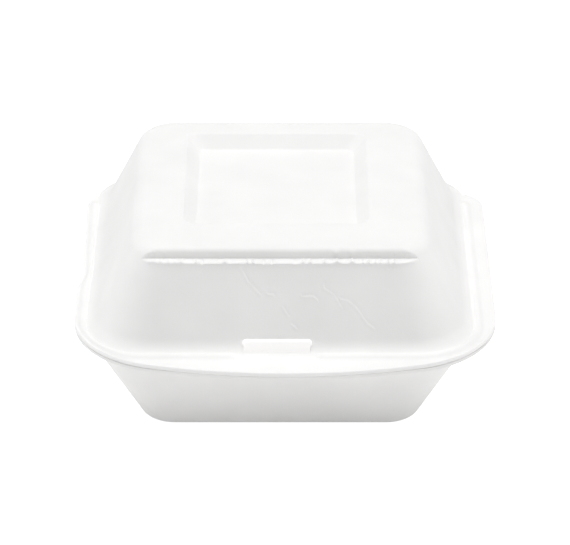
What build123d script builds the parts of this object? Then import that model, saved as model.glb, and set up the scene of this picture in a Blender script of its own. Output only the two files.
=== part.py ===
"""Foam clamshell container: a tray and its lid, moulded and cut from one sheet of polystyrene foam.

The box is closed. X runs across it, the fold is at the rear (+Y) and Z is up. The origin is on the
table, under the middle of the cut outline. All sizes are in millimetres.
"""
from build123d import *
import math
import os

# Closed box, outside
width = 150.0
depth = 150.0
height = 72.0
parting_height = 38.5
parting_gap = 0.2

# Foam sheet
wall = 2.0
flange_thickness = 1.5

# Bowls, which sit a little left of the middle of the cut outline
bowl_x = -1.7
side_margin = 9.5
front_margin = 15.3
hinge_margin = 3.7
wall_lean = 23.5
foot_fillet = 3.0
lid_foot_corner = 18.0
lid_end_corner = 13.0
lid_edge_round = 5.0
base_foot_corner = 15.0
base_end_corner = 12.0
base_edge_round = 4.0

# Cut outline of the flanges
front_arc = 197.0
front_corner = 36.0
ear_setback = 16.0
ear_corner = 10.0
hinge_film = 0.4
hinge_clearance = 0.05

# Step along the lid's front edge
step_height = 3.6
step_ledge = 3.0
step_round = 2.0

# Sunk panel in the lid's top, and the raised floor under the tray
panel_x = -1.4
panel_side_margin = 18.6
panel_front_margin = 19.3
panel_rear_margin = 11.5
panel_depth = 4.5
panel_slope = 4.5
panel_corner = 5.0
panel_round = 1.2
floor_margin = 13.5
floor_depth = 2.0
floor_slope = 3.0
floor_corner = 7.0

# Bead on the tray's flange and the raised channel over it in the lid's
bead_offset = 3.8
bead_width = 1.8
bead_height = 0.7
bead_clearance = 0.3
bead_side = 0.3
bead_chamfer = 0.3
bead_rear_stop = 24.0
bead_tab_stop = 2.0

# Latch tab, bent up from the tray's flange through a slot at the foot of the lid's front wall
tab_x = -2.8
tab_width = 23.2
tab_barb = 0.5
tab_barb_height = 1.6
tab_corner = 0.9
tab_rise = 4.2
tab_lean = 18.0
tab_reach = 1.9
tab_clearance = 0.4

# Levels
base_rim_z = parting_height - parting_gap / 2
base_foot_z = base_rim_z - flange_thickness
lid_rim_z = parting_height + parting_gap / 2
lid_foot_z = lid_rim_z + flange_thickness
lid_depth = height - lid_foot_z

# Places in plan
hinge_y = depth / 2
rear_edge_y = hinge_y - hinge_clearance
foot_width = width - 2 * side_margin
foot_length = depth - front_margin - hinge_margin
front_foot_y = -depth / 2 + front_margin
bowl_y = front_foot_y + foot_length / 2
lean = math.tan(math.radians(wall_lean))
side_wall = wall / math.cos(math.radians(wall_lean))
mouth_round = foot_fillet + flange_thickness
lid_corners = (lid_foot_corner, lid_end_corner)
base_corners = (base_foot_corner, base_end_corner)
tiny = 0.01

# Ledge and riser of the lid's step
ledge_z = height - step_height
riser_y = front_foot_y + (ledge_z - lid_foot_z) * lean + step_ledge

# Latch tab's front face, as lines across Y and Z
tab_slant = math.tan(math.radians(tab_lean))
tab_thickness = flange_thickness / math.cos(math.radians(tab_lean))
tab_face_y = front_foot_y - tab_reach
tab_root_y = tab_face_y - (lid_foot_z - base_foot_z) * tab_slant
tab_tip_y = tab_face_y + tab_rise * tab_slant
slot_width = tab_width + 2 * tab_barb + 2 * tab_clearance
slot_front_y = tab_face_y - flange_thickness * tab_slant - tab_clearance
slot_rear_y = tab_tip_y + tab_thickness + tab_clearance
tab_tip_z = lid_foot_z + tab_rise
window_length = (tab_tip_z - base_rim_z) / math.cos(math.radians(tab_lean))

# Bead and channel
channel_width = bead_width + 2 * bead_clearance
channel_depth = bead_height - parting_gap + bead_clearance
band_width = channel_width + 2 * bead_side

# Sunk panel
panel_front_y = riser_y + panel_front_margin
panel_rear_y = bowl_y + foot_length / 2 - lid_depth * lean - panel_rear_margin
panel_y = (panel_front_y + panel_rear_y) / 2
panel_length = panel_rear_y - panel_front_y
panel_width = foot_width - 2 * lid_depth * lean - 2 * panel_side_margin
panel_lean = math.atan2(panel_slope, panel_depth)
panel_shift = wall * math.tan((math.pi / 2 - panel_lean) / 2)
floor_width = foot_width - 2 * base_foot_z * lean - 2 * floor_margin
floor_length = foot_length - 2 * base_foot_z * lean - 2 * floor_margin
floor_lean = math.atan2(floor_slope, floor_depth)
floor_shift = wall * math.tan((math.pi / 2 - floor_lean) / 2)


def level(z, x, y, size_x, size_y, corner):
    """A rounded rectangle at height z."""
    with BuildSketch(Plane.XY.offset(z)) as outline:
        with Locations((x, y)):
            RectangleRounded(size_x, size_y, corner)
    return outline.sketch


def bowl_level(z, rise, bowl_depth, corners, inset):
    """One level of a bowl: its outline at a distance from the foot, drawn at height z."""
    shrink = 2 * rise * lean + 2 * inset
    foot_corner, end_corner = corners
    corner = foot_corner + (end_corner - foot_corner) * rise / bowl_depth - inset
    return level(z, bowl_x, bowl_y, foot_width - shrink, foot_length - shrink, corner)


def flange_outline(z):
    """A flange's face: the cut outline with its bowed front and rear ears, and the strip round the bowl."""
    with BuildSketch(Plane.XY.offset(z)) as outline:
        with Locations((0, -ear_setback / 2)):
            Rectangle(width, depth - ear_setback)
        with Locations((0, -depth / 2 + front_arc)):
            Circle(front_arc, mode=Mode.INTERSECT)
        fillet(outline.vertices().group_by(Axis.Y)[0], front_corner)
        fillet(outline.vertices().group_by(Axis.Y)[-1], ear_corner)
        with Locations((bowl_x, bowl_y)):
            strip = 2 * hinge_margin
            RectangleRounded(foot_width + strip, foot_length + strip, lid_foot_corner + hinge_margin)
        with Locations((0, rear_edge_y + depth / 2)):
            Rectangle(2 * width, depth, mode=Mode.SUBTRACT)
    return outline.sketch


def bead_outline(z, band):
    """A band of the given width on the bead's line, open at the rear and round the tab."""
    outer = bead_offset + band / 2
    inner = bead_offset - band / 2
    with BuildSketch(Plane.XY.offset(z)) as outline:
        with Locations((bowl_x, bowl_y)):
            RectangleRounded(foot_width + 2 * outer, foot_length + 2 * outer, lid_foot_corner + outer)
            RectangleRounded(foot_width + 2 * inner, foot_length + 2 * inner, lid_foot_corner + inner,
                             mode=Mode.SUBTRACT)
        spread = (band - bead_width) / 2
        with Locations((0, hinge_y - bead_rear_stop + spread + depth / 2)):
            Rectangle(2 * width, depth, mode=Mode.SUBTRACT)
        with Locations((tab_x, front_foot_y)):
            gap = slot_width + 2 * bead_tab_stop - 2 * spread
            Rectangle(gap, 4 * bead_offset, mode=Mode.SUBTRACT)
    return outline.sketch


def hinge_groove(level_z, outward):
    """Half of the pressed groove along the fold, which leaves a thin film at the parting plane."""
    bevel = flange_thickness - hinge_film
    with BuildSketch(Plane.YZ.offset(-width)) as profile:
        with BuildLine():
            Polyline(
                (rear_edge_y, level_z - outward * bevel),
                (rear_edge_y, level_z + outward * flange_thickness),
                (rear_edge_y - bevel - flange_thickness, level_z + outward * flange_thickness),
                (rear_edge_y - bevel, level_z),
                close=True,
            )
        make_face()
    return profile.sketch


def step_profile():
    """What the step takes off the lid's front edge, seen from the side, with the riser's top rounded."""
    with BuildSketch(Plane.YZ.offset(-width)) as profile:
        with BuildLine():
            Polyline(
                (riser_y, height - step_round),
                (riser_y, ledge_z),
                (-depth, ledge_z),
                (-depth, height + step_height),
                (riser_y + step_round, height + step_height),
                (riser_y + step_round, height),
            )
            RadiusArc((riser_y, height - step_round), (riser_y + step_round, height), step_round)
        make_face()
    return profile.sketch


def ring_at(part, z, x, y, size_x, size_y):
    """The edges at height z that lie inside a rectangle."""

    def near(edge):
        box = edge.bounding_box()
        across = max(x - box.min.X, box.max.X - x) < size_x / 2 + tiny
        along = max(y - box.min.Y, box.max.Y - y) < size_y / 2 + tiny
        return across and along and max(z - box.min.Z, box.max.Z - z) < tiny

    return part.edges().filter_by(near)


def bowl_ring(part, z, margin=0.0):
    """The edges at height z that lie within a margin of the bowls' foot."""
    return ring_at(part, z, bowl_x, bowl_y, foot_width + 2 * margin, foot_length + 2 * margin)


def panel_cut(z, direction, x, y, size_x, size_y, deep, slope, corner):
    """Two levels of a sunk panel: its edge at height z and its floor, deeper by deep."""
    edge = level(z, x, y, size_x, size_y, corner)
    bottom = level(z + direction * deep, x, y, size_x - 2 * slope, size_y - 2 * slope, corner - slope / 2)
    return [edge, bottom]


# Food space of the tray, with the floor raised over the panel
with BuildPart() as base_space:
    mouth = bowl_level(base_rim_z, -flange_thickness, base_foot_z, base_corners, side_wall)
    end = bowl_level(wall, base_foot_z - wall, base_foot_z, base_corners, side_wall)
    loft([end, mouth], ruled=True)
    fillet(bowl_ring(base_space, wall), base_edge_round - wall)
    size_x = floor_width + 2 * floor_shift
    size_y = floor_length + 2 * floor_shift
    loft(panel_cut(wall, 1, bowl_x, bowl_y, size_x, size_y, floor_depth, floor_slope, floor_corner),
         ruled=True, mode=Mode.SUBTRACT)

# Space under the lid, which follows its front step and sunk panel
with BuildPart() as lid_space:
    mouth = bowl_level(lid_rim_z, -flange_thickness, lid_depth, lid_corners, side_wall)
    end = bowl_level(height - wall, lid_depth - wall, lid_depth, lid_corners, side_wall)
    loft([mouth, end], ruled=True)
    fillet(bowl_ring(lid_space, height - wall), lid_edge_round - wall)
    with Locations((0, riser_y + wall - depth / 2, ledge_z - wall + step_height / 2)):
        Box(width, depth, step_height, mode=Mode.SUBTRACT)
    size_x = panel_width + 2 * panel_shift
    size_y = panel_length + 2 * panel_shift
    loft(panel_cut(height - wall, -1, bowl_x + panel_x, panel_y, size_x, size_y, panel_depth, panel_slope,
                   panel_corner), ruled=True, mode=Mode.SUBTRACT)

# Latch tab, with small barbs at its top corners
with BuildPart() as tab:
    with BuildSketch(Plane.YZ.offset(tab_x)):
        with BuildLine():
            Polyline(
                (tab_root_y, base_foot_z),
                (tab_tip_y, tab_tip_z),
                (tab_tip_y + tab_thickness, tab_tip_z),
                (tab_root_y + tab_thickness, base_foot_z),
                close=True,
            )
        make_face()
    extrude(amount=tab_width / 2 + tab_barb, both=True)
    with BuildSketch(Plane.XZ):
        with Locations((tab_x, (base_foot_z + tab_tip_z) / 2)):
            Rectangle(tab_width, tab_tip_z - base_foot_z)
        with Locations((tab_x, tab_tip_z - tab_barb_height / 2)):
            Rectangle(tab_width + 2 * tab_barb, tab_barb_height)
        chamfer(vertices().group_by(Axis.Y)[-1], tab_corner)
    extrude(amount=depth, both=True, mode=Mode.INTERSECT)

# Bead on the tray's flange
with BuildPart() as bead:
    extrude(bead_outline(base_rim_z, bead_width), amount=bead_height)
    chamfer(bead.faces().sort_by(Axis.Z)[-1].edges(), bead_chamfer)

# Raised band on the lid's flange, with the channel for the bead under it
with BuildPart() as band:
    extrude(bead_outline(lid_foot_z, band_width), amount=channel_depth)
    chamfer(band.faces().sort_by(Axis.Z)[-1].edges(), bead_chamfer)

# Tray
with BuildPart() as base:
    extrude(flange_outline(base_foot_z), amount=flange_thickness)
    foot = bowl_level(base_foot_z, 0, base_foot_z, base_corners, 0)
    end = bowl_level(0, base_foot_z, base_foot_z, base_corners, 0)
    loft([end, foot], ruled=True)
    fillet(bowl_ring(base, base_foot_z), foot_fillet)
    fillet(bowl_ring(base, 0), base_edge_round)
    loft(panel_cut(0, 1, bowl_x, bowl_y, floor_width, floor_length, floor_depth, floor_slope, floor_corner),
         ruled=True, mode=Mode.SUBTRACT)
    add(base_space.part, mode=Mode.SUBTRACT)
    fillet(bowl_ring(base, base_rim_z, flange_thickness), mouth_round)
    add(bead.part)
    with Locations((tab_x, tab_root_y - window_length / 2, base_foot_z + flange_thickness / 2)):
        Box(slot_width, window_length, flange_thickness, mode=Mode.SUBTRACT)
    add(tab.part)
    extrude(hinge_groove(base_foot_z, -1), amount=2 * width, mode=Mode.SUBTRACT)
base.part.label = "base"

# Lid
with BuildPart() as lid:
    extrude(flange_outline(lid_rim_z), amount=flange_thickness)
    foot = bowl_level(lid_foot_z, 0, lid_depth, lid_corners, 0)
    end = bowl_level(height, lid_depth, lid_depth, lid_corners, 0)
    loft([foot, end], ruled=True)
    fillet(bowl_ring(lid, lid_foot_z), foot_fillet)
    fillet(bowl_ring(lid, height), lid_edge_round)
    extrude(step_profile(), amount=2 * width, mode=Mode.SUBTRACT)
    loft(panel_cut(height, -1, bowl_x + panel_x, panel_y, panel_width, panel_length, panel_depth,
                   panel_slope, panel_corner), ruled=True, mode=Mode.SUBTRACT)
    for z in (height, height - panel_depth):
        fillet(ring_at(lid, z, bowl_x + panel_x, panel_y, panel_width, panel_length), panel_round)
    add(lid_space.part, mode=Mode.SUBTRACT)
    fillet(bowl_ring(lid, lid_rim_z, flange_thickness), mouth_round)
    add(band.part)
    extrude(bead_outline(lid_rim_z, channel_width), amount=channel_depth, mode=Mode.SUBTRACT)
    slot_y = (slot_front_y + slot_rear_y) / 2
    with Locations((tab_x, slot_y, (lid_rim_z + tab_tip_z) / 2)):
        Box(slot_width, slot_rear_y - slot_front_y, tab_tip_z - lid_rim_z, mode=Mode.SUBTRACT)
    extrude(hinge_groove(lid_foot_z, 1), amount=2 * width, mode=Mode.SUBTRACT)
lid.part.label = "lid"

os.makedirs("parts", exist_ok=True)
export_step(base.part, "parts/base.step")
export_step(lid.part, "parts/lid.step")
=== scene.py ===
"""A closed foam clamshell container on a pale floor. Meshes are shaped in millimetres and end in metres."""
import math

import bmesh
import bpy
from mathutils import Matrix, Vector


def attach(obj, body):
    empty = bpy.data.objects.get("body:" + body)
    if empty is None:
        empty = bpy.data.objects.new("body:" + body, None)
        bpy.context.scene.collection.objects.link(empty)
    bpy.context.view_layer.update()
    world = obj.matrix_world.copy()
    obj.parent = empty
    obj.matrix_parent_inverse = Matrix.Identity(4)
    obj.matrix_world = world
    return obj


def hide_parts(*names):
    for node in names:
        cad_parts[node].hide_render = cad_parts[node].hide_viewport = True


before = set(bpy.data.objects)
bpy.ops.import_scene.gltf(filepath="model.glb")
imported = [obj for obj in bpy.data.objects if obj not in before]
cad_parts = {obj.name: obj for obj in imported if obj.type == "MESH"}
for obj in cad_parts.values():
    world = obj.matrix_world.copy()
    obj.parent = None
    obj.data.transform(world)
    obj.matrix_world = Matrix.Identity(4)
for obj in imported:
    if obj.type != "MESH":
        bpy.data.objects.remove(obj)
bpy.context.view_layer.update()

# The tray: a square tapered bowl, heated and pressed from a sheet of white polystyrene foam. Its flange is
# cut to a bowed front and two rear ears. A low bead runs round the flange, and a window is left where the
# latch tab was bent up.
bowl_x, bowl_y = -1.7, 5.8
foot_half_x, foot_half_y = 66.2, 65.5
foot_corner = 18.0
lean_angle = math.radians(23.5)
lean = math.tan(lean_angle)
wall = 2.0
side_wall = wall / math.cos(lean_angle)
flange_thickness = 1.5
mouth_round = 4.5
turn = math.tan((math.pi / 2 - lean_angle) / 2)
tray_foot_round = 3.0
flange_start = tray_foot_round * turn
mouth_start = mouth_round * turn - side_wall + flange_thickness * lean
front_margin, hinge_strip = 15.3, 3.7
narrow_flange = 1.2 * hinge_strip
rear_edge_y = 74.95
hinge_film = 0.4
tab_x = -2.8
cut_half = 12.5
slot_rear_in = 0.36
outer_round, parting_round = 0.45, 0.12
edge_margin = 1.3 * outer_round
bead_out = 6.4
side_cells, front_cells, corner_cells, ear_cells = 64, 66, 24, 6
tab_cells = (22, 20, 24)
end_cells, wall_cells, round_cells = 9, 16, 6
foot_slot_cells, mouth_slot_cells = 4, 2
halvings = 30


def blend_to(low, high, value):
    """0 up to low, 1 from high, and a smooth rise between."""
    share = min(1.0, max(0.0, (value - low) / (high - low)))
    return share * share * (3 - 2 * share)


def spread(start, end, count):
    """The inner points of a run that is cut into equal cells."""
    return [start + (end - start) * i / count for i in range(1, count)]


def inside_cut(x, y):
    """Whether a point lies inside the flange's cut outline."""
    side, front_y, front_arc, front_corner = 75.0, -75.0, 197.0, 36.0
    ear_y, ear_corner = 59.0, 10.0
    arc_y = front_y + front_arc
    corner_x = side - front_corner
    corner_y = arc_y - math.sqrt((front_arc - front_corner) ** 2 - corner_x ** 2)
    across = abs(x)
    if y > rear_edge_y:
        return False
    over_x = max(0.0, abs(x - bowl_x) - foot_half_x + foot_corner)
    over_y = max(0.0, y - bowl_y - foot_half_y + foot_corner)
    if y > 0 and math.hypot(over_x, over_y) <= foot_corner + hinge_strip:
        return True
    if across > side or y > ear_y or math.hypot(x, y - arc_y) > front_arc:
        return False
    if y < corner_y and across * (arc_y - corner_y) > corner_x * (arc_y - y):
        return math.hypot(across - corner_x, y - corner_y) <= front_corner
    if across > side - ear_corner and y > ear_y - ear_corner:
        return math.hypot(across - side + ear_corner, y - ear_y + ear_corner) <= ear_corner
    return True


def foot_point(column):
    """Where a column of points crosses the bowls' foot line."""
    across, along, out_x, out_y, _ = column
    return (bowl_x + across * (foot_half_x - foot_corner) + out_x * foot_corner,
            bowl_y + along * (foot_half_y - foot_corner) + out_y * foot_corner)


def cut_reach(column):
    """How far the flange's cut edge lies from the foot line. The left edge is squeezed in a little."""
    x, y = foot_point(column)
    low, high = 0.0, 40.0
    for _ in range(halvings):
        middle = (low + high) / 2
        if inside_cut(x + middle * column[2], y + middle * column[3]):
            low = middle
        else:
            high = middle
    deepest, easing = 1.7, 0.55
    starts, eases, ends = (-14, -4.5), (-2, 13), (20, 44)
    squeeze = deepest * blend_to(*starts, y) * (1 - easing * blend_to(*eases, y)) * (1 - blend_to(*ends, y))
    faces_left = column[2] < -0.9
    return low - (squeeze if faces_left else 0.0)


def ear_turn(side):
    """The angle at a rear corner, from the side, at which the ear ends and the narrow rear strip begins."""
    low, high = 0.0, math.pi / 4
    for _ in range(halvings):
        middle = (low + high) / 2
        if cut_reach((side, 1, side * math.cos(middle), math.sin(middle), 0.0)) > hinge_strip + 0.001:
            low = middle
        else:
            high = middle
    return high


def ring_columns():
    """Points of a ring as seen from above: shares of the straight sides across and along, the direction
    out, and how near each one is to the middle of its side."""
    half = foot_half_x - foot_corner
    cuts = [(tab_x - cut_half - bowl_x) / half, (tab_x + cut_half - bowl_x) / half]
    front = spread(-1, cuts[0], tab_cells[0]) + [cuts[0]] + spread(cuts[0], cuts[1], tab_cells[1])
    front += [cuts[1]] + spread(cuts[1], 1, tab_cells[2])
    columns = [(t, -1, 0.0, -1.0, 1 - t * t) for t in front]
    even = [math.pi / 2 * i / corner_cells for i in range(corner_cells + 1)]

    def eared(end):
        rest = corner_cells - ear_cells
        return ([end * i / ear_cells for i in range(ear_cells)]
                + [end + (math.pi / 2 - end) * i / rest for i in range(rest + 1)])

    def corner(x, y, start, angles):
        return [(x, y, math.cos(start + a), math.sin(start + a), 0.0) for a in angles]

    columns += corner(1, -1, -math.pi / 2, even)
    columns += [(1, t, 1.0, 0.0, 1 - t * t) for t in spread(-1, 1, side_cells)]
    columns += corner(1, 1, 0, eared(ear_turn(1)))
    columns += [(t, 1, 0.0, 1.0, 1 - t * t) for t in spread(1, -1, front_cells)]
    columns += corner(-1, 1, math.pi / 2, [math.pi / 2 - a for a in reversed(eared(ear_turn(-1)))])
    columns += [(-1, t, -1.0, 0.0, 1 - t * t) for t in spread(1, -1, side_cells)]
    columns += corner(-1, -1, math.pi, even)
    return columns


columns = ring_columns()
reaches = [cut_reach(column) for column in columns]


def plan_ring(z, half_x, half_y, corner, x, y):
    """A rounded rectangle of points at height z."""
    return [Vector((x + a * (half_x - corner) + u * corner, y + b * (half_y - corner) + v * corner, z))
            for a, b, u, v, _ in columns]


def own_out(column, bowl):
    """How far a bowl's own foot line, tighter at its corners and wider, stands out from the common one."""
    own_corner, wider, _ = bowl
    return (foot_corner - own_corner) * (abs(column[2]) + abs(column[3]) - 1) + wider * abs(column[2])


def fillet_share(column, reach, bowl):
    """How much of the foot fillet's width there is room for on the flange."""
    usable = 0.75
    room = usable * reach - own_out(column, bowl)
    return min(1.0, room / flange_start) if reach < 2 * hinge_strip else 1.0


def bowl_ring(z, inward, corner, bowl, bow=0.0):
    """A ring of a bowl at a distance in from the foot line. Its sides lean more than its front and rear,
    and all four bow in a little at their middles."""
    _, wider, gain = bowl
    ring = []
    for column, reach in zip(columns, reaches):
        a, b, u, v, middle = column
        inner = inward if inward > 0 else inward * fillet_share(column, reach, bowl)
        half_x = foot_half_x + wider - inner * (gain if inner > 0 else 1)
        ring.append(Vector((bowl_x + a * (half_x - corner) + u * (corner - bow * middle),
                            bowl_y + b * (foot_half_y - inner - corner) + v * (corner - bow * middle), z)))
    return ring


def bead_share(x, y):
    """1 along the bead's line, and 0 at the rear and round the tab."""
    rear_stop, tab_stop, fade = 51.0, 2.0 + cut_half, 0.9
    share = 1 - blend_to(rear_stop - fade, rear_stop, y)
    if y < 0:
        share *= blend_to(tab_stop - fade, tab_stop + fade, abs(x - tab_x))
    return share


def fillet_height(radius, out):
    """How high a foot fillet still stands over the flange at a distance out from the foot line."""
    left = radius * turn - out
    return radius - math.sqrt(radius ** 2 - left ** 2) if left > 0 else 0.0


def flange_ring(z, out, start, bowl, lift=0.0, foot=0.0):
    """A ring of the flange at a distance out from the foot line. The distance is true up to bead_out, less
    where the flange is narrow, and clear of a bowl whose corners are tighter than the foot line's."""
    ring = []
    widest = front_margin - edge_margin
    for column, reach in zip(columns, reaches):
        own = own_out(column, bowl) + start * fillet_share(column, reach, bowl)
        room = reach - edge_margin
        share = min(1.0, (room - start) / (bead_out - start))
        near = start + (bead_out - start) * share
        if reach < narrow_flange:
            distance = own + (room - own) * (out - start) / (widest - start)
        elif out <= bead_out:
            closest = 0.1
            distance = max(start + (out - start) * share, own + closest * (out - start))
        else:
            distance = near + (room - near) * (out - bead_out) / (widest - bead_out)
        x, y = foot_point(column)
        x += column[2] * distance
        y += column[3] * distance
        ring.append(Vector((x, y, z + max(fillet_height(foot, distance), lift * bead_share(x, y)))))
    return ring


def edge_ring(z, inset):
    """A ring of the flange along its cut edge."""
    ring = []
    for column, reach in zip(columns, reaches):
        x, y = foot_point(column)
        ring.append(Vector((x + column[2] * (reach - inset), y + column[3] * (reach - inset), z)))
    return ring


def cut_edge(outer_z, parting_z):
    """The rings of a flange's cut edge, soft on its outer side and crisp where the two flanges meet."""
    up = 1 if outer_z > parting_z else -1
    part_way = 0.29 * outer_round
    return [edge_ring(outer_z, outer_round), edge_ring(outer_z - up * part_way, part_way),
            edge_ring(outer_z - up * outer_round, 0), edge_ring(parting_z + up * parting_round, 0),
            edge_ring(parting_z, parting_round)]


def arc(centre_in, centre_h, radius, start, end, cells):
    """Points of an arc in a bowl's section: how far in from the foot line and how far from the flange."""
    angles = [start + (end - start) * i / cells for i in range(cells + 1)]
    return [(centre_in + radius * math.cos(a), centre_h + radius * math.sin(a)) for a in angles]


def panel_profile(depth, slope, radius, cells=3):
    """Section of a pressed panel's side, as distance in from its outline and depth, both edges rounded."""
    steepest = math.atan2(depth, slope)
    reach = radius * math.tan(steepest / 2)
    angles = [steepest * i / cells for i in range(cells + 1)]
    near = [(-reach + radius * math.sin(a), radius - radius * math.cos(a)) for a in angles]
    return near + [(slope - q, depth - d) for q, d in reversed(near)]


def between(first, last, count):
    """Rings spaced evenly between two rings."""
    return [[a.lerp(b, i / count) for a, b in zip(first, last)] for i in range(1, count)]


def bowl_section(foot_z, up, depth, bowl, end_corner, end_round, bow, panel, foot_round, foot_out):
    """The rings of a bowl's outside, from its panel out to the foot, and of its inside, from the mouth in
    to the panel. One ring of the foot and one of the mouth fall on the rear edge of the lid's slot."""
    own_corner = bowl[0]
    slim = (own_corner - end_corner) / depth
    half_x, half_y, corner, x, y, sunk, slope, radius = panel

    def ring(h, inward, ring_corner, bowed=0.0):
        return bowl_ring(foot_z + up * h, inward, ring_corner, bowl, bowed)

    def panel_rings(level, grow):
        rings = []
        for inward, deep in panel_profile(sunk, slope, radius):
            smaller = grow - inward
            rings.append(plan_ring(foot_z + up * (level - deep), half_x + smaller, half_y + smaller,
                                   corner + max(-inward, -inward / 2), x, y))
        return rings

    def end_rings(points, corner_low):
        low_in, high_in = min(p[0] for p in points), max(p[0] for p in points)
        grow = (corner_high - corner_low) / (high_in - low_in)
        return [ring(h, inward, corner_low + grow * (inward - low_in)) for inward, h in points]

    top_in = depth * lean + end_round * turn
    corner_high = end_corner - end_round * turn
    rings = panel_rings(depth, 0.0)
    outside = list(reversed(rings)) + between(rings[0], ring(depth, top_in, corner_high), end_cells)
    round_points = arc(top_in, depth - end_round, end_round, math.pi / 2, math.pi - lean_angle, round_cells)
    top_h = round_points[-1][1]
    outside += end_rings(round_points, own_corner - slim * top_h)
    foot_in = -foot_round * turn
    slot_turn = -math.acos((slot_rear_in - foot_in) / foot_round)
    foot_turn = -math.acos(max(0.0, -foot_out - foot_in) / foot_round)
    foot_points = arc(foot_in, foot_round, foot_round, -lean_angle, slot_turn, 3)
    foot_points += arc(foot_in, foot_round, foot_round, slot_turn, foot_turn, foot_slot_cells)[1:]
    low_h = foot_points[0][1]
    for i in range(1, wall_cells):
        h = top_h + (low_h - top_h) * i / wall_cells
        outside.append(ring(h, h * lean, own_corner - slim * h, bow * math.sin(math.pi * h / depth)))
    for inward, h in foot_points:
        outside.append(ring(h, inward, own_corner - min(inward, slim * inward / lean)))

    mouth_in = -mouth_start
    slot_turn = -math.acos((slot_rear_in - mouth_in) / mouth_round)
    mouth_h = mouth_round - flange_thickness
    mouth = arc(mouth_in, mouth_h, mouth_round, -math.pi / 2, slot_turn, mouth_slot_cells)[1:]
    mouth += arc(mouth_in, mouth_h, mouth_round, slot_turn, -lean_angle, round_cells)[1:]
    mouth_end = mouth[-1]
    mouth_corner, inner_corner = own_corner - mouth_in, own_corner - slim * mouth_end[1] - side_wall
    inside = []
    for inward, h in mouth:
        share = (inward - mouth_in) / (mouth_end[0] - mouth_in)
        inside.append(ring(h, inward, mouth_corner + (inner_corner - mouth_corner) * share))
    round_points = arc(top_in, depth - end_round, end_round - wall, math.pi - lean_angle, math.pi / 2, 5)
    low_h = round_points[0][1]
    for i in range(1, wall_cells):
        h = mouth_end[1] + (low_h - mouth_end[1]) * i / wall_cells
        inside.append(ring(h, side_wall + h * lean, own_corner - slim * h - side_wall,
                           bow * math.sin(math.pi * h / depth)))
    inside += end_rings(round_points, own_corner - slim * low_h - side_wall)
    steep = math.atan2(slope, sunk)
    rings = panel_rings(depth - wall, wall * math.tan((math.pi / 2 - steep) / 2))
    return outside, inside + between(inside[-1], rings[0], 7) + rings


def corners_of(geom):
    """The corners in a mix of corners, edges and faces."""
    return {g for g in geom if isinstance(g, bmesh.types.BMVert)}


def skin_of(rings):
    """One closed skin through the rings: a loop drawn from ring to ring, and filled at both ends."""
    bm = bmesh.new()
    bmesh.ops.create_circle(bm, segments=len(columns), radius=1)
    loop = list(bm.verts)
    for vert, point in zip(loop, rings[0]):
        vert.co = point
    edges = list(bm.edges)
    first, rows = edges, [loop]
    for ring in rings[1:]:
        new = bmesh.ops.extrude_edge_only(bm, edges=edges)["geom"]
        fresh = corners_of(new)
        edges = [g for g in new if isinstance(g, bmesh.types.BMEdge) and set(g.verts) <= fresh]
        loop = [next(e.other_vert(v) for e in v.link_edges if e.other_vert(v) in fresh) for v in loop]
        for vert, point in zip(loop, ring):
            vert.co = point
        rows.append(loop)
    front, corner, side = front_cells - 1, corner_cells + 1, side_cells - 1
    quarter = corner_cells // 2
    for row, ring_edges in ((rows[0], first), (rows[-1], edges)):
        near = {row[i] for i in range(-quarter - 1, front + quarter + 1)}
        start = front + corner + side + quarter
        far = {row[i] for i in range(start, start + front + 2 + 2 * quarter)}
        rails = [e for e in ring_edges if set(e.verts) <= near or set(e.verts) <= far]
        bmesh.ops.grid_fill(bm, edges=rails)
    return bm, rows


tab_columns = range(tab_cells[0] - 1, tab_cells[0] + tab_cells[1])


def snap_rows(rows, places, half=cut_half):
    """Brings the tab's columns of some rows to straight lines across the front, and to a hole's width."""
    for row, y in places:
        for i in tab_columns:
            point = rows[row][i].co
            point.x = tab_x + (point.x - tab_x) * half / cut_half
            point.y = y


def cut_through(bm, rows, outer, inner):
    """Cuts a hole along the tab's columns, between two outer rows and two inner ones, and walls it."""
    doomed = []
    for low, high in (outer, inner):
        for row in range(low, high):
            for i in tab_columns[:-1]:
                corners = {rows[row][i], rows[row][i + 1], rows[row + 1][i], rows[row + 1][i + 1]}
                doomed += [f for f in rows[row][i].link_faces if set(f.verts) == corners]
    rim = [e for f in doomed for e in f.edges if sum(g in doomed for g in e.link_faces) == 1]
    bmesh.ops.delete(bm, geom=doomed, context="FACES")
    bmesh.ops.bridge_loops(bm, edges=[e for e in rim if e.is_valid])
    bmesh.ops.delete(bm, geom=[v for v in bm.verts if not v.link_faces], context="VERTS")


def press_fold(bm, face_z, up):
    """Thins the flange's rear edge to the film that the box folds on."""
    bevel = flange_thickness - hinge_film
    for vert in bm.verts:
        past = vert.co.y - (rear_edge_y - bevel)
        if past > 0:
            limit = face_z - up * past
            vert.co.z = min(vert.co.z, limit) if up > 0 else max(vert.co.z, limit)


# The foam's finish is a fine satin skin over closed cells, faintly mottled and nowhere quite flat.
foam_skin = bpy.data.node_groups.new("foam_skin", "ShaderNodeTree")
for socket, kind, value in (("Tone", "NodeSocketColor", (0.9, 0.9, 0.9, 1)),
                            ("Shade", "NodeSocketColor", (0.8, 0.8, 0.8, 1)),
                            ("Cells", "NodeSocketFloat", 1.0), ("Waves", "NodeSocketFloat", 1.0)):
    made = foam_skin.interface.new_socket(socket, in_out="INPUT", socket_type=kind)
    made.default_value = value
for socket, kind in (("Colour", "NodeSocketColor"), ("Roughness", "NodeSocketFloat"),
                     ("Height", "NodeSocketFloat")):
    foam_skin.interface.new_socket(socket, in_out="OUTPUT", socket_type=kind)


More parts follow.
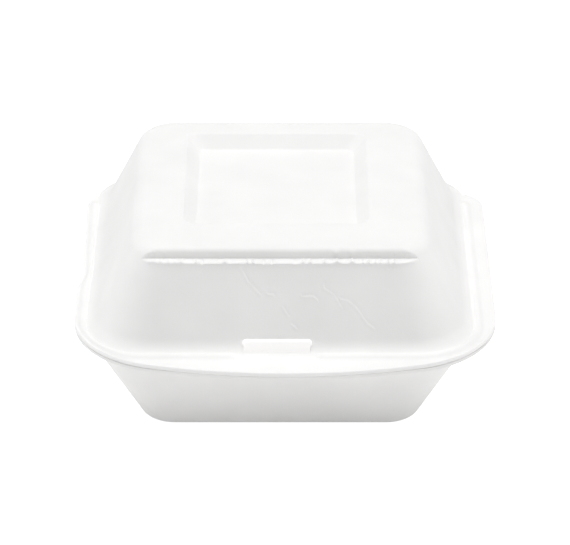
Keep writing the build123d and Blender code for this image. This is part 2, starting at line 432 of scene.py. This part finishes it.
def foam_nodes():
    """The group's own nodes: cloudy mottling, cell walls and slow waves, on the piece's own coordinates."""
    nodes, links = foam_skin.nodes, foam_skin.links
    given, taken = nodes.new("NodeGroupInput"), nodes.new("NodeGroupOutput")
    place = nodes.new("ShaderNodeTexCoord")

    clouds = nodes.new("ShaderNodeTexNoise")
    clouds.inputs["Scale"].default_value = 55
    clouds.inputs["Detail"].default_value = 4
    links.new(place.outputs["Object"], clouds.inputs["Vector"])
    soft = nodes.new("ShaderNodeMapRange")
    soft.inputs["From Min"].default_value, soft.inputs["From Max"].default_value = 0.35, 0.7
    links.new(clouds.outputs["Fac"], soft.inputs["Value"])
    tone = nodes.new("ShaderNodeMix")
    tone.data_type = "RGBA"
    links.new(soft.outputs["Result"], tone.inputs["Factor"])
    links.new(given.outputs["Tone"], tone.inputs["A"])
    links.new(given.outputs["Shade"], tone.inputs["B"])
    links.new(tone.outputs["Result"], taken.inputs["Colour"])

    cells = nodes.new("ShaderNodeTexVoronoi")
    cells.feature = "SMOOTH_F1"
    cells.inputs["Scale"].default_value = 1500
    links.new(place.outputs["Object"], cells.inputs["Vector"])
    rough = nodes.new("ShaderNodeMapRange")
    rough.inputs["To Min"].default_value, rough.inputs["To Max"].default_value = 0.5, 0.66
    links.new(cells.outputs["Distance"], rough.inputs["Value"])
    links.new(rough.outputs["Result"], taken.inputs["Roughness"])

    waves = nodes.new("ShaderNodeTexNoise")
    waves.inputs["Scale"].default_value = 160
    waves.inputs["Detail"].default_value = 2
    links.new(place.outputs["Object"], waves.inputs["Vector"])
    cell_height, wave_height, height = (nodes.new("ShaderNodeMath") for _ in range(3))
    for part, source, share in ((cell_height, cells.outputs["Distance"], "Cells"),
                                (wave_height, waves.outputs["Fac"], "Waves")):
        part.operation = "MULTIPLY"
        links.new(source, part.inputs[0])
        links.new(given.outputs[share], part.inputs[1])
        links.new(part.outputs["Value"], height.inputs[0 if share == "Cells" else 1])
    height.operation = "ADD"
    links.new(height.outputs["Value"], taken.inputs["Height"])


foam_nodes()


def foam_material(name, tone, shade, cells=0.12, waves=0.35):
    """One piece's foam finish."""
    material = bpy.data.materials.new(name)
    material.use_nodes = True
    nodes, links = material.node_tree.nodes, material.node_tree.links
    skin = nodes["Principled BSDF"]
    foam = nodes.new("ShaderNodeGroup")
    foam.node_tree = foam_skin
    foam.inputs["Tone"].default_value = (*tone, 1)
    foam.inputs["Shade"].default_value = (*shade, 1)
    foam.inputs["Cells"].default_value = cells
    foam.inputs["Waves"].default_value = waves
    bump = nodes.new("ShaderNodeBump")
    bump.inputs["Strength"].default_value = 0.35
    bump.inputs["Distance"].default_value = 0.0004
    links.new(foam.outputs["Colour"], skin.inputs["Base Color"])
    links.new(foam.outputs["Roughness"], skin.inputs["Roughness"])
    links.new(foam.outputs["Height"], bump.inputs["Height"])
    links.new(bump.outputs["Normal"], skin.inputs["Normal"])
    skin.inputs["Specular IOR Level"].default_value = 0.35
    return material


def mark_cut(bm, cut_rows):
    """Gives a flange's cut edge its own finish, coarser in its cells and with a tone that paints light on
    the lid's edge and shade on the tray's, and keeps the edge at the parting crisp.
    """
    cut = {vert for row in cut_rows for vert in row}
    crisp = set(cut_rows[3])
    for face in bm.faces:
        face.material_index = 1 if all(vert in cut for vert in face.verts) else 0
    for edge in bm.edges:
        edge.smooth = not set(edge.verts) <= crisp


def finish_mesh(bm, name, materials):
    """Turns the faces outwards, keeps sharp corners sharp, and makes the object in metres."""
    sharp_angle = math.radians(50)
    bmesh.ops.recalc_face_normals(bm, faces=bm.faces)
    for face in bm.faces:
        face.smooth = True
    for edge in bm.edges:
        edge.smooth = edge.smooth and edge.calc_face_angle(0) < sharp_angle
    bmesh.ops.scale(bm, vec=(0.001, 0.001, 0.001), verts=bm.verts)
    mesh = bpy.data.meshes.new(name)
    bm.to_mesh(mesh)
    bm.free()
    for material in materials:
        mesh.materials.append(material)
    piece = bpy.data.objects.new(name, mesh)
    bpy.context.scene.collection.objects.link(piece)
    return piece


tray_foot_z, tray_rim_z = 36.9, 38.4
# A bowl is given by the corner at its foot, how much wider it is there, and how much more its sides lean.
tray_bowl = (15.0, 0.5, 1.07)
tray_end_corner, tray_end_round, tray_bow = 12.0, 4.0, 0.25
floor_half, floor_corner = 35.96, 7.0
floor_depth, floor_slope, floor_round = 2.0, 3.0, 1.0
raised_floor = (floor_half, floor_half, floor_corner, bowl_x, bowl_y, floor_depth, floor_slope, floor_round)
bead_height, bead_side = 0.7, 0.35
window_near, window_far = 2.94, 9.144
tray_outside, tray_inside = bowl_section(
    tray_foot_z, -1, tray_foot_z, tray_bowl, tray_end_corner, tray_end_round, tray_bow, raised_floor,
    tray_foot_round, flange_start)
# The flange's rings, as distances out from the foot line, and the bead's height over some of them.
offsets = [2.6, window_near, 3.05, 3.25, 3.8, 4.35, 4.6, 4.75, bead_out, window_far, 11.2, 12.8, 14.0]
bead = {3.05: bead_side, 3.25: bead_height, 3.8: bead_height, 4.35: bead_height, 4.6: bead_side}
rings = list(tray_outside)
under_window = len(rings) + offsets.index(window_near)
rings += [flange_ring(tray_foot_z, out, flange_start, tray_bowl) for out in offsets]
tray_cut = len(rings)
rings += cut_edge(tray_foot_z, tray_rim_z)
over_window = len(rings) + len(offsets) - 1 - offsets.index(window_near)
rings += [flange_ring(tray_rim_z, out, mouth_start, tray_bowl, bead.get(out, 0.0))
          for out in reversed(offsets)]
rings.append(flange_ring(tray_rim_z, mouth_start, mouth_start, tray_bowl))
rings += tray_inside
tray_mesh, tray_rows = skin_of(rings)
mark_cut(tray_mesh, tray_rows[tray_cut:tray_cut + 5])
far_step = offsets.index(window_far) - offsets.index(window_near)
front_foot_y = bowl_y - foot_half_y
under_far, over_far = under_window + far_step, over_window - far_step
snap_rows(tray_rows, [(row, front_foot_y - window_near) for row in (under_window, over_window)])
snap_rows(tray_rows, [(row, front_foot_y - window_far) for row in (under_far, over_far)])
cut_through(tray_mesh, tray_rows, (under_window, under_far), (over_far, over_window))
press_fold(tray_mesh, tray_foot_z, -1)
# The flange's front springs up against the lid's, and parts from it again towards the corners.
spring, spring_from, spring_to, closed_half, parted_half = 0.19, 7.0, 13.0, 42.0, 62.0
for vert in tray_mesh.verts:
    out = front_foot_y - vert.co.y
    if out > spring_from and vert.co.z > tray_foot_z - 1:
        vert.co.z += spring * blend_to(spring_from, spring_to, out) * (
            1 - blend_to(closed_half, parted_half, abs(vert.co.x)))

tray_foam = foam_material("tray_foam", (0.90, 0.897, 0.89), (0.87, 0.867, 0.86))
# The tray's cut edge: coarser cells, and a tone a little darker than the tray's foam, painted shade between
# the two flanges.
tray_edge_painted_shade = foam_material("tray_edge_painted_shade", (0.87, 0.867, 0.86), (0.84, 0.837, 0.83), 0.3, 0.5)
tray = finish_mesh(tray_mesh, "tray", (tray_foam, tray_edge_painted_shade))
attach(tray, "base")
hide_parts("base")

# The latch tab: a tongue of the tray's flange, of the same foam, cut on three sides and bent up so that
# it springs through the lid's slot. Small barbs at its top corners catch on the ends of the slot.
tab_half, tab_barb, barb_starts, barb_full = 11.6, 0.5, 2.1, 1.3
tab_root = Vector((0, -62.640, 36.9))
tab_tip = Vector((0, -60.235, 44.3))
tab_thickness = 1.577
tab_corner, tab_edge_round = 0.9, 0.3
tab_mesh = bmesh.new()
bmesh.ops.create_grid(tab_mesh, x_segments=30, y_segments=14, size=0.5)
for vert in tab_mesh.verts:
    along, rise = 2 * vert.co.x, vert.co.y + 0.5
    from_top = (1 - rise) * (tab_tip.z - tab_root.z)
    half = tab_half + tab_barb * blend_to(barb_starts, barb_full, from_top)
    half -= tab_corner * (1 - math.sqrt(max(0.0, 1 - max(0.0, 1 - from_top / tab_corner) ** 2)))
    vert.co = tab_root.lerp(tab_tip, rise) + Vector((tab_x + half * along, 0, 0))
back = bmesh.ops.extrude_face_region(tab_mesh, geom=tab_mesh.faces[:])["geom"]
bmesh.ops.translate(tab_mesh, vec=(0, tab_thickness, 0), verts=list(corners_of(back)))
bmesh.ops.recalc_face_normals(tab_mesh, faces=tab_mesh.faces)
rim = [e for e in tab_mesh.edges if e.calc_face_angle(0) > math.radians(60)]
bmesh.ops.bevel(tab_mesh, geom=rim, offset=tab_edge_round, affect="EDGES", segments=3, profile=0.5,
                material=-1)
# The tab's finish is painted light: a tone much lighter than the tray's foam and a faint glow, though the
# tab is the same foam and no lamp.
tab_painted_glow = foam_material("tab_painted_glow", (0.975, 0.97, 0.965), (0.955, 0.95, 0.945))
tab_skin = tab_painted_glow.node_tree.nodes["Principled BSDF"]
tab_skin.inputs["Emission Color"].default_value = (1.0, 0.99, 0.98, 1)
tab_skin.inputs["Emission Strength"].default_value = 0.18
tab = finish_mesh(tab_mesh, "latch_tab", (tab_painted_glow,))
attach(tab, "base")

# The lid: the other bowl of the same sheet, pressed in the same stroke. It has a step along its front
# edge, a sunk panel in its top, a raised band over the tray's bead, and a slot for the tab, cut at the
# foot of its front wall.
lid_rim_z, lid_foot_z, lid_top_z = 38.6, 40.1, 72.0
ledge_z, riser_y, step_round = 68.4, -44.395, 2.0
ledge_soft, ledge_lip = 0.8, 0.5
band_height = 0.8
lid_foot_round = 6.5
lid_bowl = (18.0, 0.0, 1.06)
lid_end_corner, lid_end_round, lid_bow = 13.0, 5.0, 0.3
panel_half_x, panel_half_y, panel_corner = 33.03, 35.51, 5.0
panel_x, panel_y = bowl_x - 1.4, 10.42
panel_depth, panel_slope, panel_round = 4.5, 4.5, 1.2
top_panel = (panel_half_x, panel_half_y, panel_corner, panel_x, panel_y,
             panel_depth, panel_slope, panel_round)
slot_front_out, slot_under_out = 1.8, 2.4
lid_outside, lid_inside = bowl_section(
    lid_foot_z, 1, lid_top_z - lid_foot_z, lid_bowl, lid_end_corner, lid_end_round, lid_bow, top_panel,
    lid_foot_round, slot_front_out)
slot_half = 11.66
slot_front_top, slot_front_under = -61.5, -62.15
# The flange's rings again, with the heights of the band on its top and of the channel under it.
offsets = [2.0, 2.2, slot_under_out, 2.6, 2.95, 3.8, 4.5, 4.98, 5.1, 5.5, 6.1, 8.0, 10.5, 12.6, 14.0]
band = {2.2: 0.1, 2.4: 0.35, 2.6: 0.65, 2.95: band_height, 3.8: band_height,
        4.5: 0.72, 4.98: 0.5, 5.1: 0.44, 5.5: 0.2}
channel = dict.fromkeys((2.6, 2.95, 3.8, 4.5, 4.98), band_height)
rings = list(lid_outside)
slot_top, over_slot = len(rings) - 1 - foot_slot_cells, len(rings) - 1
rings += [flange_ring(lid_foot_z, out, slot_front_out, lid_bowl, band.get(out, 0.0), lid_foot_round)
          for out in offsets]
lid_cut = len(rings)
rings += cut_edge(lid_foot_z, lid_rim_z)
under_slot = len(rings) + len(offsets) - 1 - offsets.index(slot_under_out)
rings += [flange_ring(lid_rim_z, out, flange_start, lid_bowl, channel.get(out, 0.0))
          for out in reversed(offsets)]
rings.append(flange_ring(lid_rim_z, flange_start, flange_start, lid_bowl))
rings.append(flange_ring(lid_rim_z, mouth_start, mouth_start, lid_bowl))
mouth_slot = len(rings) - 1 + mouth_slot_cells
rings += lid_inside
lid_mesh, lid_rows = skin_of(rings)
mark_cut(lid_mesh, lid_rows[lid_cut:lid_cut + 5])
snap_rows(lid_rows, [(over_slot, slot_front_top), (under_slot, slot_front_under)], slot_half)
snap_rows(lid_rows, [(row, front_foot_y + slot_rear_in) for row in (slot_top, mouth_slot)], slot_half)
for row in list(range(slot_top + 1, over_slot)) + list(range(under_slot + 1, mouth_slot)):
    for i in tab_columns:
        lid_rows[row][i].co.x = tab_x + (lid_rows[row][i].co.x - tab_x) * slot_half / cut_half
cut_through(lid_mesh, lid_rows, (slot_top, over_slot), (under_slot, mouth_slot))
press_fold(lid_mesh, lid_foot_z, 1)


def near_geometry(bm, rows, low_y, high_y, low_z):
    """The faces whose corners all lie in some rows and in a box, with their edges and corners, in an order
    that is the same on each run."""
    own = {vert for row in rows for vert in row if vert.is_valid}
    faces = [f for f in bm.faces
             if all(v in own and low_y < v.co.y < high_y and v.co.z > low_z for v in f.verts)]
    return list(dict.fromkeys(g for f in faces for g in (f, *f.edges, *f.verts)))


def slice_geometry(bm, geom, axis, places):
    """Cuts some geometry along planes across one axis, and gives it back with the new cuts."""
    normal = Vector((axis == "x", axis == "y", axis == "z"))
    for place in places:
        geom = bmesh.ops.bisect_plane(bm, geom=geom, plane_co=normal * place, plane_no=normal)["geom"]
    return geom


# The ledge's puckers, from the left: place, half width, and height before pucker_gain. The last two are
# wedges that also climb the riser.
puckers = [(-45.6, 1.2, 0.25), (-43.3, 0.9, 0.3), (-40.6, 1.1, 0.3), (-38.2, 0.8, 0.25), (-36.2, 0.8, 0.35),
           (-31.0, 0.5, 0.3), (-28.7, 0.4, -0.3), (-20.9, 0.6, 0.35), (-13.2, 0.4, 0.3), (-11.1, 0.4, 0.35),
           (-7.5, 0.5, -0.25), (-4.5, 0.4, -0.25), (3.5, 0.9, -0.2), (6.3, 0.5, 0.3), (8.7, 0.5, 0.35),
           (13.6, 0.5, 0.3), (27.2, 0.3, 0.3), (29.2, 0.4, 0.35), (31.3, 0.5, 0.3), (33.1, 0.4, 0.3),
           (35.9, 0.4, 0.35), (38.0, 0.4, 0.3), (18.1, 0.9, 0.55), (23.3, 0.8, 0.55)]
wedges = puckers[-2:]
pucker_gain, wedge_gain = 1.6, 1.1


def press_step():
    """Presses the lid's front edge, inside too, down to a ledge with a rounded riser behind it."""
    reach, drop = riser_y + step_round, lid_top_z - step_round
    front, behind, below, below_inside = -80, riser_y + 8, ledge_z - 4, ledge_z - 6
    outer = near_geometry(lid_mesh, lid_rows[:len(lid_outside)], front, behind, below)
    # New cuts where the form turns: up to the riser's foot, over its round top, and along the ledge's edge.
    rounds = [riser_y + step_round * (1 - math.cos(a)) for a in (0.35, 0.7, 1.05, 1.35, math.pi / 2)]
    before = [riser_y - d for d in (2.3, 1.6, 0.9, 0.4, 0.15, 0.02)]
    outer = slice_geometry(lid_mesh, outer, "y", before + rounds)
    outer = slice_geometry(lid_mesh, outer, "z", [ledge_z + ledge_soft * k for k in (-1, -0.5, 0, 0.5, 1)])
    across = sorted(c + w * k for c, w, _ in puckers for k in (-1.6, -0.8, 0, 0.8, 1.6))
    outer = slice_geometry(lid_mesh, outer, "x", across)
    for vert in corners_of(outer):
        x, y, z = vert.co
        if y < riser_y - 0.01:
            share = min(1.0, max(0.0, 0.5 + 0.5 * (ledge_z - z) / ledge_soft))
            pressed = ledge_z + (z - ledge_z) * share - ledge_soft * share * (1 - share)
            near_edge = blend_to(ledge_z - 1.2, ledge_z + 0.4, z)
            lift = pucker_gain * sum(h * math.exp(-((x - c) / w) ** 2) for c, w, h in puckers)
            vert.co.z = pressed + lift * near_edge * blend_to(0.0, 1.2, riser_y - y)
            lip = ledge_lip * math.exp(-((z - ledge_z) / ledge_soft) ** 2)
            vert.co.y -= lip * blend_to(0.4, 2.0, riser_y - y)
        elif y < reach + 0.01:
            top = drop + math.sqrt(max(0.0, step_round ** 2 - (reach - y) ** 2))
            vert.co.z = min(z, top)
            pull = wedge_gain * sum(h * math.exp(-((x - c) / (1.1 * w)) ** 2) for c, w, h in wedges)
            vert.co.y -= pull * (1 - (y - riser_y) / step_round)
    inner = near_geometry(lid_mesh, lid_rows[-len(lid_inside):], front, behind, below_inside)
    inner = slice_geometry(lid_mesh, inner, "y", [reach - 0.02, reach])
    inner = slice_geometry(lid_mesh, inner, "z", [ledge_z - wall])
    for vert in corners_of(inner):
        if vert.co.y < reach - 0.01:
            vert.co.z = min(vert.co.z, ledge_z - wall)


press_step()

# The front wall's creases: lines of x and z, where the thin foam buckled as it was drawn.
creases = [[(-14.67, 65.71), (-12.76, 62.18), (-11.41, 60.93), (-8.49, 58.08)],
           [(-5.91, 58.24), (-4.18, 58.17)],
           [(-0.38, 53.62), (0.35, 52.4), (1.15, 51.31)], [(2.51, 48.45), (3.83, 47.42)],
           [(5.98, 57.57), (9.85, 57.57), (11.03, 56.57)],
           [(13.53, 61.83), (13.71, 60.04), (15.66, 58.98), (17.19, 57.92), (18.37, 56.12), (19.91, 53.81)],
           [(19.52, 56.67), (21.85, 56.31), (23.39, 55.06), (24.57, 54.16), (25.73, 52.91), (26.88, 51.31),
            (27.65, 50.25), (28.83, 48.8), (30.75, 47.55)]]
crease_width, crease_height, crease_reach, crease_fade = 0.22, 0.16, 1.5, 2.2


def crease_gap(x, z):
    """Distance from the nearest crease, positive above it."""
    nearest = crease_reach * 2
    for line in creases:
        for (x1, z1), (x2, z2) in zip(line, line[1:]):
            along = Vector((x2 - x1, z2 - z1))
            off = Vector((x - x1, z - z1))
            share = min(1.0, max(0.0, off.dot(along) / along.length_squared))
            gap = off - along * share
            if gap.length < abs(nearest):
                nearest = math.copysign(gap.length, gap.x + gap.y)
    return nearest


def crease_wall():
    """Presses a fine slanting line along each crease of the front wall, to catch the light from above."""
    front, behind, lowest, highest, side = -62, -40, lid_foot_z + 3, ledge_z - 1.4, 36
    geom = near_geometry(lid_mesh, lid_rows[:len(lid_outside)], front, behind, lowest)
    edges = {}
    for face in geom:
        if isinstance(face, bmesh.types.BMFace):
            x, _, z = face.calc_center_median()
            if abs(x) < side and z < highest and abs(crease_gap(x, z)) < crease_reach:
                edges.update(dict.fromkeys(face.edges))
    made = bmesh.ops.subdivide_edges(lid_mesh, edges=list(edges), cuts=5, use_grid_fill=True)
    out = Vector((0, -math.cos(lean_angle), math.sin(lean_angle)))
    for vert in corners_of(made["geom"]):
        gap = crease_gap(vert.co.x, vert.co.z)
        slant = crease_height * math.tanh(gap / crease_width)
        vert.co -= out * slant * math.exp(-(crease_fade * gap / crease_reach) ** 2)


crease_wall()

# The lid's foam is a little darker than the tray's, though both are one sheet: painted shade that dims the
# whole lid.
lid_foam = foam_material("lid_foam", (0.885, 0.882, 0.877), (0.855, 0.852, 0.847))
# The lid's cut edge: coarser cells, and a tone lighter than the lid's foam, painted light that brightens an
# edge band the lamps leave dark.
lid_edge_painted_light = foam_material("lid_edge_painted_light", (0.94, 0.937, 0.932), (0.92, 0.917, 0.912), 0.3, 0.5)
lid = finish_mesh(lid_mesh, "lid_shell", (lid_foam, lid_edge_painted_light))
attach(lid, "lid")
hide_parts("lid")

# The floor and the studio: a lit white sheet of paper under the box, one broad light above it and one at
# each side, and a white room all round.
floor_half_size = 6.0
floor_mesh = bmesh.new()
bmesh.ops.create_grid(floor_mesh, x_segments=1, y_segments=1, size=floor_half_size)
floor_data = bpy.data.meshes.new("floor")
floor_mesh.to_mesh(floor_data)
floor_mesh.free()
floor = bpy.data.objects.new("floor", floor_data)
bpy.context.scene.collection.objects.link(floor)
paper = bpy.data.materials.new("floor_paper")
paper.use_nodes = True
paper_nodes, paper_links = paper.node_tree.nodes, paper.node_tree.links
sheet = paper_nodes["Principled BSDF"]
sheet.inputs["Base Color"].default_value = (0.95, 0.95, 0.95, 1)
sheet.inputs["Roughness"].default_value = 0.9
sheet.inputs["Emission Color"].default_value = (1, 1, 1, 1)
seen, glow = paper_nodes.new("ShaderNodeLightPath"), paper_nodes.new("ShaderNodeMath")
glow.operation = "MULTIPLY_ADD"
seen_glow, even_glow = 0.6, 0.12
glow.inputs[1].default_value, glow.inputs[2].default_value = seen_glow, even_glow
paper_links.new(seen.outputs["Is Camera Ray"], glow.inputs[0])
paper_links.new(glow.outputs["Value"], sheet.inputs["Emission Strength"])
floor_data.materials.append(paper)

world = bpy.data.worlds.new("studio")
bpy.context.scene.world = world
world.use_nodes = True
world.node_tree.nodes["Background"].inputs["Color"].default_value = (1, 1, 1, 1)
world.node_tree.nodes["Background"].inputs["Strength"].default_value = 0.43


def soft_light(name, place, aim, size, power):
    """A broad square light that looks at a point."""
    data = bpy.data.lights.new(name, "AREA")
    data.shape, data.size, data.energy = "SQUARE", size, power
    light = bpy.data.objects.new(name, data)
    light.location = place
    light.rotation_euler = (Vector(aim) - Vector(place)).to_track_quat("-Z", "Y").to_euler()
    bpy.context.scene.collection.objects.link(light)


soft_light("overhead", (0, 0, 1.3), (0, 0, 0), 1.4, 13.3)
soft_light("left", (-1.2, 0.1, 0.35), (0, 0, 0.04), 0.6, 2.2)
soft_light("right", (1.2, 0.1, 0.35), (0, 0, 0.04), 0.6, 2.2)

# The camera stands where the photograph's did: straight in front, looking 29 degrees down through a
# long lens.
camera_pitch = math.radians(29)
camera_data = bpy.data.cameras.new("camera")
camera_data.sensor_width, camera_data.lens = 36.0, 197.6
camera = bpy.data.objects.new("camera", camera_data)
camera.location = (0, -1.000, 0.5925)
camera.rotation_euler = (math.pi / 2 - camera_pitch, 0, 0)
bpy.context.scene.collection.objects.link(camera)
bpy.context.scene.camera = camera
bpy.context.scene.view_settings.view_transform = "Standard"
